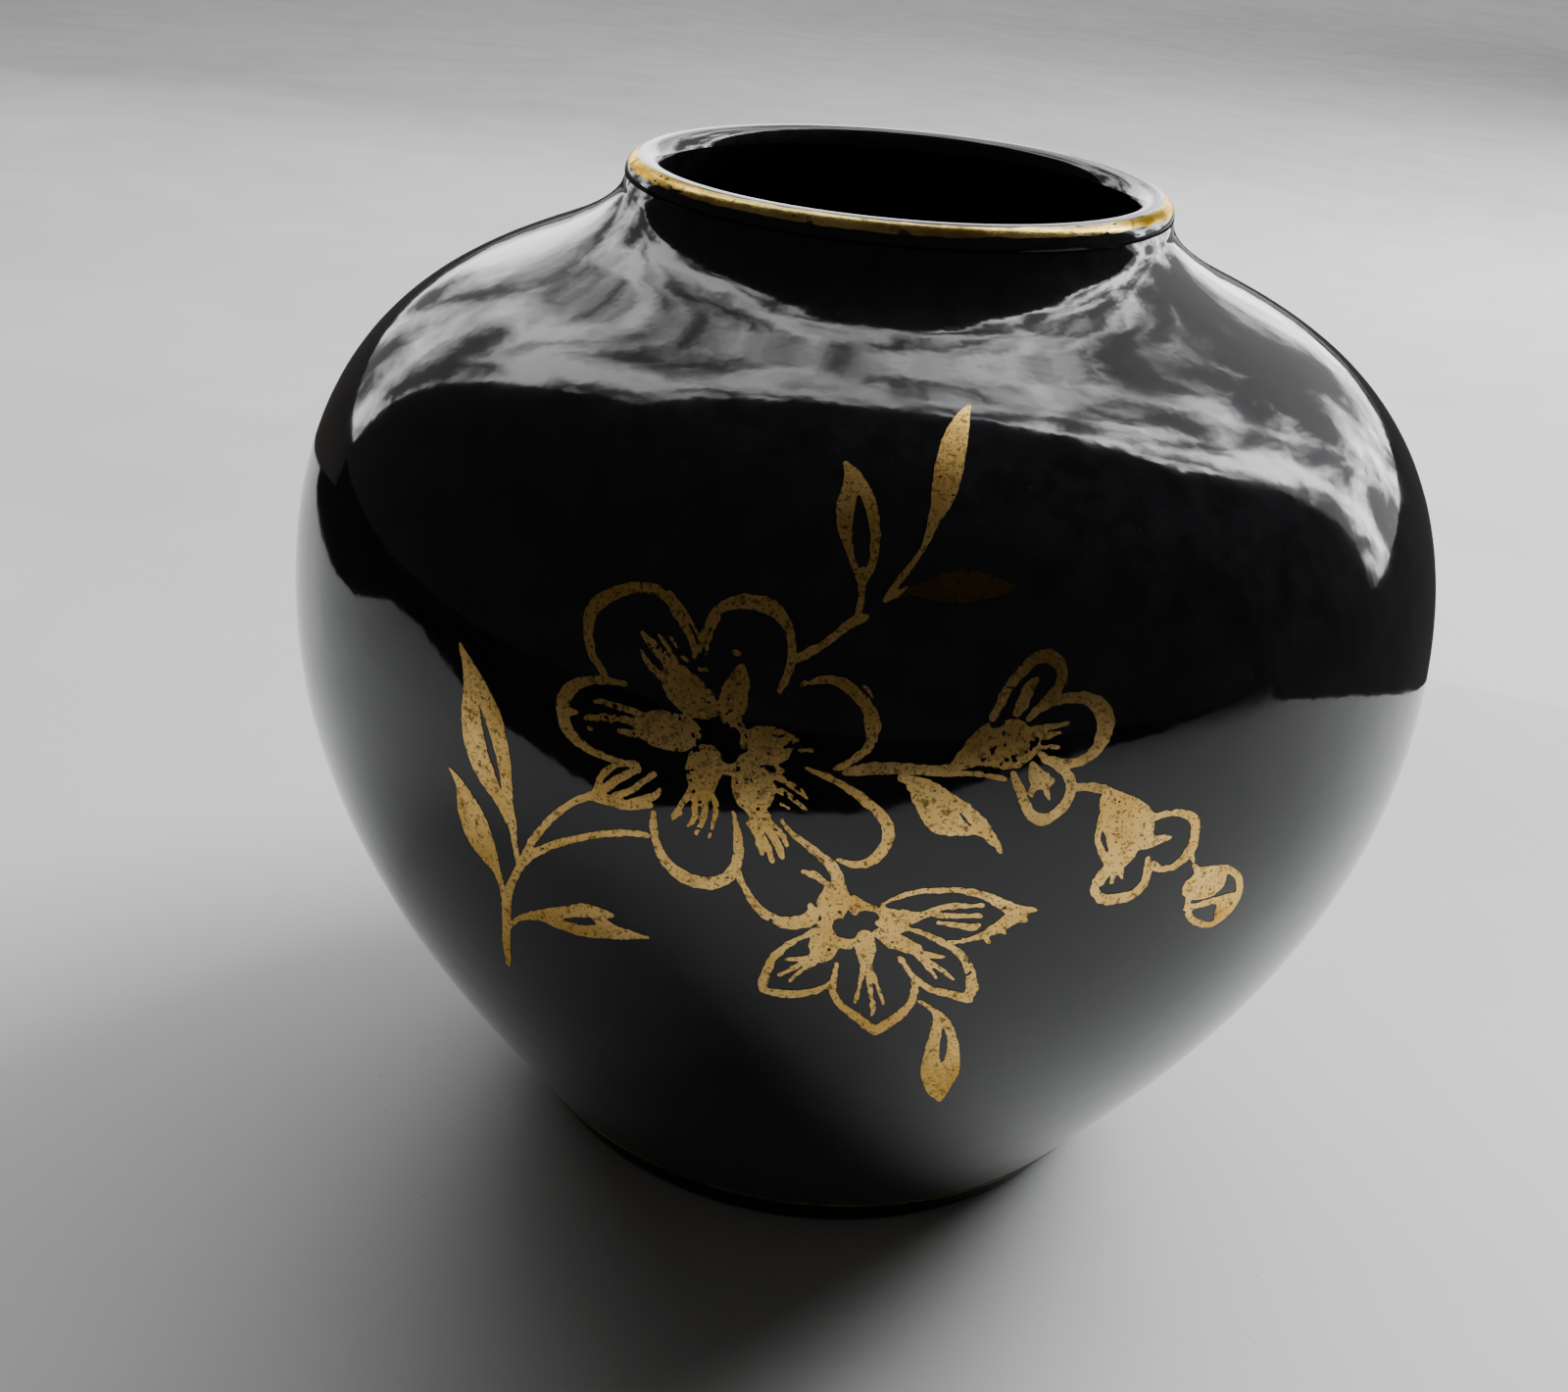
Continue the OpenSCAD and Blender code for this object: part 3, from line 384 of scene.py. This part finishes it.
class Shader:
    """A node material, with short calls for the nodes that the surfaces here share."""

    def __init__(self, name):
        self.material = bpy.data.materials.new(name)
        self.material.use_nodes = True
        self.tree = self.material.node_tree
        self.surface = self.tree.nodes["Principled BSDF"]
        self.place = self.add("ShaderNodeTexCoord").outputs["Object"]

    def add(self, kind, **values):
        node = self.tree.nodes.new(kind)
        for key, value in values.items():
            setattr(node, key, value)
        return node

    def link(self, source, target):
        self.tree.links.new(source, target)

    def noise(self, scale, detail=3.0, roughness=0.5, distortion=0.0):
        node = self.add("ShaderNodeTexNoise")
        node.inputs["Scale"].default_value = scale
        node.inputs["Detail"].default_value = detail
        node.inputs["Roughness"].default_value = roughness
        node.inputs["Distortion"].default_value = distortion
        self.link(self.place, node.inputs["Vector"])
        return node.outputs["Fac"]

    def specks(self, scale, size):
        """1 inside small round specks scattered through the material, 0 outside."""
        node = self.add("ShaderNodeTexVoronoi")
        node.inputs["Scale"].default_value = scale
        self.link(self.place, node.inputs["Vector"])
        return self.ramp(node.outputs["Distance"], [(size * 0.6, 1.0), (size, 0.0)])

    def ramp(self, value, stops):
        """A colour ramp through (position, grey or colour) stops."""
        node = self.add("ShaderNodeValToRGB")
        elements = node.color_ramp.elements
        while len(elements) < len(stops):
            elements.new(0.5)
        for element, (position, colour) in zip(elements, stops):
            element.position = position
            rgb = colour if isinstance(colour, tuple) else (colour,) * 3
            element.color = (*rgb, 1)
        self.link(value, node.inputs["Fac"])
        return node.outputs["Color"]

    def mix(self, factor, a, b, blend="MIX"):
        node = self.add("ShaderNodeMix", data_type="RGBA", blend_type=blend)
        for socket, value in zip((node.inputs[0], node.inputs[6], node.inputs[7]), (factor, a, b)):
            if isinstance(value, tuple):
                socket.default_value = (*value, 1)
            elif isinstance(value, (int, float)):
                socket.default_value = value
            else:
                self.link(value, socket)
        return node.outputs[2]

    def maths(self, operation, a, b):
        node = self.add("ShaderNodeMath", operation=operation)
        for socket, value in zip(node.inputs, (a, b)):
            if isinstance(value, (int, float)):
                socket.default_value = value
            else:
                self.link(value, socket)
        return node.outputs[0]

    def bump(self, height, strength, distance):
        node = self.add("ShaderNodeBump")
        node.inputs["Strength"].default_value = strength
        node.inputs["Distance"].default_value = distance
        self.link(height, node.inputs["Height"])
        self.link(node.outputs["Normal"], self.surface.inputs["Normal"])

    def set(self, **values):
        for key, value in values.items():
            self.surface.inputs[key.replace("_", " ")].default_value = value


def black_glaze():
    shader = Shader("black_glaze")
    cloud = shader.noise(330, 5, 0.7)
    dust = shader.specks(900, 0.035)
    body = shader.ramp(cloud, [(0.35, (0.003, 0.0026, 0.0034)), (0.7, (0.010, 0.0088, 0.0108))])
    shader.link(shader.mix(dust, body, (0.13, 0.12, 0.12)), shader.surface.inputs["Base Color"])
    smear = shader.noise(95, 6, 0.65, 0.8)
    shader.link(shader.ramp(smear, [(0.35, 0.04), (0.75, 0.10)]), shader.surface.inputs["Roughness"])
    shader.bump(shader.noise(420, 2), 0.25, 0.00006)
    shader.set(IOR=1.52)
    return shader.material


def bare_porcelain():
    shader = Shader("bare_porcelain")
    grain = shader.noise(1800, 5, 0.6)
    stain = shader.noise(70, 4, 0.6)
    clay = shader.ramp(grain, [(0.3, (0.56, 0.52, 0.46)), (0.7, (0.72, 0.69, 0.63))])
    dirt = shader.ramp(stain, [(0.42, 0.0), (0.7, 0.75)])
    shader.link(shader.mix(dirt, clay, (0.24, 0.20, 0.165)), shader.surface.inputs["Base Color"])
    shader.link(shader.ramp(grain, [(0.3, 0.62), (0.7, 0.9)]), shader.surface.inputs["Roughness"])
    shader.bump(grain, 0.5, 0.00008)
    return shader.material


# The upper spray's lower leaf, worn thin, with its gold painted dark brown as painted shade: where it starts,
# its reach in height, and how far above x the stem over it passes, all in metres.
SHADED_LEAF_LEFT = 0.0026
SHADED_LEAF_LOW = 0.0728
SHADED_LEAF_HIGH = 0.0756
SHADED_LEAF_STEM = 0.0707


def transfer_gold(name, dark, bright):
    """Printed gold between two tones, with painted shade in dark brown on the upper spray's worn lower leaf.
    """
    shader = Shader(name)
    fine = shader.noise(1500, 5, 0.65)
    patch = shader.noise(190, 4, 0.6)
    dust = shader.noise(4200, 2, 0.5)
    tone = shader.ramp(patch, [(0.35, dark), (0.65, bright)])
    worn = shader.ramp(fine, [(0.55, 0.0), (0.65, 0.8)])
    tone = shader.mix(worn, tone, (0.12, 0.07, 0.02))
    tone = shader.mix(shader.ramp(dust, [(0.58, 0.0), (0.67, 0.85)]), tone, (0.10, 0.06, 0.02))
    split = shader.add("ShaderNodeSeparateXYZ")
    shader.link(shader.place, split.inputs[0])
    x, z = split.outputs["X"], split.outputs["Z"]
    # Painted shade: a box round the upper spray's worn lower leaf turns its gold dark brown, a painted dark
    # reflection.
    stem = shader.maths("MINIMUM", shader.maths("ADD", x, SHADED_LEAF_STEM), SHADED_LEAF_HIGH)
    right = shader.maths("GREATER_THAN", x, SHADED_LEAF_LEFT)
    above = shader.maths("GREATER_THAN", z, SHADED_LEAF_LOW)
    below = shader.maths("LESS_THAN", z, stem)
    wear_and_painted_shade = shader.maths("MULTIPLY", shader.maths("MULTIPLY", right, above), below)
    wear_and_painted_shade = shader.maths("MULTIPLY", wear_and_painted_shade, 0.9)
    shader.link(shader.mix(wear_and_painted_shade, tone, (0.07, 0.045, 0.022)), shader.surface.inputs["Base Color"])
    shader.link(shader.ramp(fine, [(0.3, 0.24), (0.7, 0.40)]), shader.surface.inputs["Roughness"])
    shader.bump(fine, 0.45, 0.00003)
    shader.set(Metallic=1.0, Specular_Tint=(0.85, 0.62, 0.30, 1))
    return shader.material


def rim_gold():
    shader = Shader("rim_gold")
    fine = shader.noise(700, 5, 0.6)
    patch = shader.noise(120, 4, 0.6)
    tone = shader.ramp(patch, [(0.38, (0.34, 0.22, 0.055)), (0.62, (0.88, 0.65, 0.22))])
    # On the rim this mask is only wear: dark specks rubbed into the gilding.
    wear_and_painted_shade = shader.ramp(fine, [(0.54, 0.0), (0.66, 0.9)])
    shader.link(shader.mix(wear_and_painted_shade, tone, (0.10, 0.06, 0.015)), shader.surface.inputs["Base Color"])
    shader.link(shader.ramp(fine, [(0.3, 0.13), (0.7, 0.30)]), shader.surface.inputs["Roughness"])
    shader.bump(fine, 0.5, 0.00005)
    shader.set(Metallic=1.0, Specular_Tint=(0.85, 0.65, 0.32, 1))
    return shader.material


def floor_paint():
    shader = Shader("floor_paint")
    tint = shader.noise(9, 4)
    dust = shader.specks(230, 0.03)
    paint = shader.ramp(tint, [(0.3, (0.60, 0.60, 0.59)), (0.7, (0.66, 0.66, 0.645))])
    shader.link(shader.mix(dust, paint, (0.40, 0.39, 0.37)), shader.surface.inputs["Base Color"])
    scuff = shader.ramp(shader.noise(40, 3), [(0.3, 0.34), (0.7, 0.48)])
    shader.link(scuff, shader.surface.inputs["Roughness"])
    shader.bump(shader.noise(260, 3), 0.15, 0.0002)
    shader.set(Specular_IOR_Level=0.2)
    return shader.material


GLAZE = black_glaze()
CLAY = bare_porcelain()
TRANSFER = transfer_gold("transfer_gold", (0.72, 0.43, 0.115), (0.98, 0.65, 0.23))
FADED = transfer_gold("faded_gold", (0.42, 0.26, 0.08), (0.72, 0.48, 0.18))
FADED_NODES = ("side_blossom", "side_blossom_calyx")
GILT = rim_gold()


# ---- Turned pieces ----

def keep(piece, node):
    """Hides the CAD node that a piece stands for, and sets the piece riding with the vase."""
    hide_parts(node)
    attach(piece, "root")


foot_points, _ = split_shared(body_points, np.concatenate([outer_back, inner_back]))
foot_points = foot_points[np.argsort(foot_points[:, 0])]
body_outer = over_lip(outer_back, LIP_TOP[0] - 0.01)
body_inner = down_inside(inner_back)
body_line = np.concatenate([smooth_line(foot_points, 1), smooth_line(body_outer, 1),
                            smooth_line(body_inner, 1)])
keep(lathe("porcelain_wall", body_line, CLAY, closed=False), "porcelain_body")

outer_shell = np.concatenate([outer_line, smooth_line(body_outer, 1)[::-1]])
keep(lathe("outer_glaze_coat", outer_shell, GLAZE), "outer_glaze")

inner_shell = np.concatenate([inner_line, smooth_line(body_inner, 1)[::-1]])
keep(lathe("inner_glaze_coat", inner_shell, GLAZE, closed=False), "inner_glaze")

low, high = (np.array(v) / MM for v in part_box("base_glaze"))
pool_r, pool_low, pool_high = high[0], low[2], high[2]
base_line = np.array([[0, pool_low], [pool_r - 0.15, pool_low], [pool_r, pool_low + 0.1], [pool_r, pool_high],
                      [0, pool_high]])
keep(lathe("base_glaze_coat", base_line, GLAZE, closed=False), "base_glaze")

# ---- Gilding ----

for number, (node, (ragged, pinholes, worn)) in enumerate(TRANSFER_NODES.items()):
    ink = FADED if node in FADED_NODES else TRANSFER
    piece = transfer_piece(node, 11 + number, ragged, pinholes, worn, ink)
    keep(piece, node)

lip_band = band_piece("rim_gold", "rim_gilding", 5, 0.08, 0.06, 0.60, 0.7, 0.95, GILT)
keep(lip_band, "rim_gilding")
foot_band = band_piece("foot_gold", "foot_gilding", 6, 0.06, 0.05, 0.75, 0.8, 0, GILT)
keep(foot_band, "foot_gilding")

# ---- Stage, light and camera ----

DAYLIGHT = (0.96, 0.98, 1.0)

floor_size = 6.0
bpy.ops.mesh.primitive_plane_add(size=floor_size, location=(0, floor_size / 2 - 1.6, 0))
floor = bpy.context.object
floor.name = "floor"
floor.data.materials.append(floor_paint())


def softbox(name, place, aim, width, height, watts):
    """A soft lamp that lights the floor, and isn't seen itself or in the glaze."""
    data = bpy.data.lights.new(name, "AREA")
    data.shape = "RECTANGLE"
    data.size, data.size_y = width, height
    data.energy = watts
    data.color = DAYLIGHT
    lamp = bpy.data.objects.new(name, data)
    bpy.context.scene.collection.objects.link(lamp)
    lamp.location = place
    lamp.rotation_euler = (Vector(aim) - Vector(place)).to_track_quat("-Z", "Y").to_euler()
    lamp.visible_camera = False
    lamp.visible_glossy = False


softbox("window", (0.1, 0.42, 0.75), (0.1, -0.5, 0.5), 1.5, 1.25, 9.5)
softbox("window_right", (0.55, 0.45, 0.6), (0, 0, 0), 0.5, 0.5, 15)
softbox("far_floor", (0.4, 1.9, 1.3), (0.4, 1.9, 0), 3.0, 1.6, 26)

world = bpy.data.worlds.new("room")
bpy.context.scene.world = world
world.use_nodes = True
world.node_tree.nodes["Background"].inputs["Color"].default_value = (0.050, 0.048, 0.046, 1)
world.node_tree.nodes["Background"].inputs["Strength"].default_value = 1.0


def card(name, corners, material):
    """A flat card that is seen only in the glaze and the gold."""
    mesh = bpy.data.meshes.new(name)
    mesh.from_pydata(corners, [], [list(range(len(corners)))])
    mesh.materials.append(material)
    piece = bpy.data.objects.new(name, mesh)
    bpy.context.scene.collection.objects.link(piece)
    piece.visible_camera = False
    piece.visible_diffuse = False
    piece.visible_shadow = False
    piece.visible_transmission = False
    return piece


def window_light():
    """Soft light that is brighter to the right, through a slightly uneven screen."""
    shader = Shader("window_light")
    split = shader.add("ShaderNodeSeparateXYZ")
    shader.link(shader.place, split.inputs[0])
    side = shader.ramp(shader.maths("ADD", shader.maths("MULTIPLY", split.outputs["X"], 0.8), 0.4),
                       [(0.0, 0.30), (0.45, 0.36), (0.75, 1.0)])
    cloud = shader.ramp(shader.noise(6.0, 5, 0.6, 0.5), [(0.42, 0.07), (0.60, 1.0)])
    light = shader.mix(1.0, side, cloud, "MULTIPLY")
    light = shader.mix(1.0, light, (0.97, 0.98, 1.0), "MULTIPLY")
    shader.link(light, shader.surface.inputs["Emission Color"])
    shader.set(Base_Color=(0, 0, 0, 1), Emission_Strength=14.0)
    return shader.material


def painted_shade_glow(name, glow):
    """A dark surface whose faint glow is painted shade, and that looks the same in any light."""
    shader = Shader(name)
    tint = shader.ramp(shader.noise(6, 3), [(0.3, glow * 0.8), (0.7, glow * 1.2)])
    shader.link(shader.mix(1.0, tint, (1.0, 0.94, 0.88), "MULTIPLY"), shader.surface.inputs["Emission Color"])
    shader.set(Base_Color=(0, 0, 0, 1), Roughness=1.0, Specular_IOR_Level=0.0, Emission_Strength=1.0)
    return shader.material


card("window_card", [(-0.50, 0.30, 0.085), (0.76, 0.30, 0.085), (0.76, 0.30, 1.0), (-0.50, 0.30, 1.0)],
     window_light())
# The ledge behind the vase: a card whose faint glow is painted shade, the dim light of a shaded face.
card("window_ledge", [(-0.55, 0.327, 0), (0.9, -0.156, 0), (0.9, -0.156, 0.075), (-0.55, 0.327, 0.075)],
     painted_shade_glow("ledge_painted_shade", 0.055))
# Painted shade: a dim glowing card over the floor that the glaze doesn't show as lit, in front of the vase
# and in a tongue that reaches in from the left. Corners on the floor, in metres.
floor_shade_edge = [(-0.07, -0.17), (-0.09, -0.14), (-0.15, -0.135), (-0.24, -0.11), (-0.44, -0.07), (-0.45, 0),
             (-0.28, 0.045), (-0.26, 0.08), (-0.25, 0.19), (-0.34, 0.34), (-3, 3), (-3, -4), (3, -4),
             (3, -0.7), (1, -0.6), (0.43, -0.5), (0.14, -0.33), (0.03, -0.23), (-0.03, -0.2)]
card("floor_shade_card", [(x, y, 0.002) for x, y in floor_shade_edge], painted_shade_glow("painted_floor_shade", 0.012))


def photo_camera():
    """The camera, from how far and how high it stands and how it is turned from facing the foot."""
    distance, elevation = 0.1956, math.radians(37.56)
    pan, tilt, roll = (math.radians(a) for a in (2.12, 10.72, -6.23))
    forward = Vector((0, math.cos(elevation), -math.sin(elevation)))
    right = Vector((1, 0, 0))
    up = right.cross(forward)
    place = -forward * distance
    turn = Matrix.Rotation(pan, 3, up)
    forward, right = turn @ forward, turn @ right
    turn = Matrix.Rotation(tilt, 3, right)
    forward, up = turn @ forward, turn @ up
    turn = Matrix.Rotation(roll, 3, forward)
    right, up = turn @ right, turn @ up
    data = bpy.data.cameras.new("camera")
    data.sensor_width = 36
    data.lens = 39.35
    data.clip_start = 0.01
    camera = bpy.data.objects.new("camera", data)
    bpy.context.scene.collection.objects.link(camera)
    camera.matrix_world = Matrix.Translation(place) @ Matrix((right, up, -forward)).transposed().to_4x4()
    bpy.context.scene.camera = camera


photo_camera()
